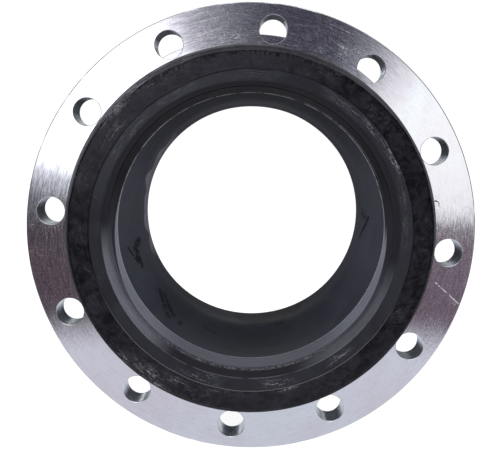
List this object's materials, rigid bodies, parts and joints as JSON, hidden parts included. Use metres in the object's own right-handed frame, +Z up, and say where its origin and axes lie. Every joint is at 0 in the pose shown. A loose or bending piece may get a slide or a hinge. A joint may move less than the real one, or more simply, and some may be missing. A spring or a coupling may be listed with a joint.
{
  "type": "rubber expansion joint",
  "caption": "Single-arch rubber expansion joint: a corded rubber bellows held between two loose drilled steel ring flanges, taking up movement between two pipe ends.",
  "frame": {"origin": "middle of the joint on the pipe axis, halfway between the two sealing faces", "axes": "+Y along the pipe axis from the near flange to the far flange, +Z up with the joint standing on its two rims, +X to the right seen from the near end"},
  "size_m": [0.4064, 0.23, 0.4064],
  "materials": {
    "zinc_steel": "lathe-turned steel ring, zinc plated, satin with fine turning marks, scuffs and handling scratches",
    "cover_rubber": "matt black moulded rubber with cord print and pale dusty scuffs",
    "liner_rubber": "smooth charcoal moulded rubber, satin, with release marks",
    "cord_fabric": "rubberised nylon cord fabric",
    "bead_wire": "bronze-coated hard drawn steel wire"
  },
  "bodies": {
    "near_flange": {"near_flange": "zinc_steel"},
    "near_cuff": {"near_bead_core_wire": "bead_wire", "near_bead_wire_1": "bead_wire", "near_bead_wire_2": "bead_wire", "near_bead_wire_3": "bead_wire", "near_bead_wire_4": "bead_wire", "near_bead_wire_5": "bead_wire", "near_bead_wire_6": "bead_wire", "outer_cover": "cover_rubber"},
    "near_half": {"ply_1": "cord_fabric", "ply_2": "cord_fabric"},
    "far_half": {"ply_3": "cord_fabric", "ply_4": "cord_fabric"},
    "far_cuff": {"far_bead_core_wire": "bead_wire", "far_bead_wire_1": "bead_wire", "far_bead_wire_2": "bead_wire", "far_bead_wire_3": "bead_wire", "far_bead_wire_4": "bead_wire", "far_bead_wire_5": "bead_wire", "far_bead_wire_6": "bead_wire", "inner_tube": "liner_rubber"},
    "far_flange": {"far_flange": "zinc_steel"}
  },
  "joints": [
    {"name": "near_flange_swivel", "type": "hinge", "parent": "near_flange", "child": "near_cuff", "pos_m": [0, -0.103, 0], "axis": [0, 1, 0], "continuous": true},
    {"name": "near_tilt", "type": "hinge", "parent": "near_cuff", "child": "near_half", "pos_m": [0, -0.084, 0], "axis": [1, 0, 0], "range_deg": [-7.5, 7.5], "stiffness_Nm_per_rad": 3500},
    {"name": "axial_travel", "type": "slide", "parent": "near_half", "child": "far_half", "axis": [0, 1, 0], "range_m": [-0.025, 0.016], "stiffness_N_per_m": 400000, "deforming": ["inner_tube", "ply_1", "ply_2", "ply_3", "ply_4", "outer_cover"]},
    {"name": "far_tilt", "type": "hinge", "parent": "far_half", "child": "far_cuff", "pos_m": [0, 0.084, 0], "axis": [1, 0, 0], "range_deg": [-7.5, 7.5], "stiffness_Nm_per_rad": 3500},
    {"name": "far_flange_swivel", "type": "hinge", "parent": "far_cuff", "child": "far_flange", "pos_m": [0, 0.103, 0], "axis": [0, 1, 0], "continuous": true}
  ]
}
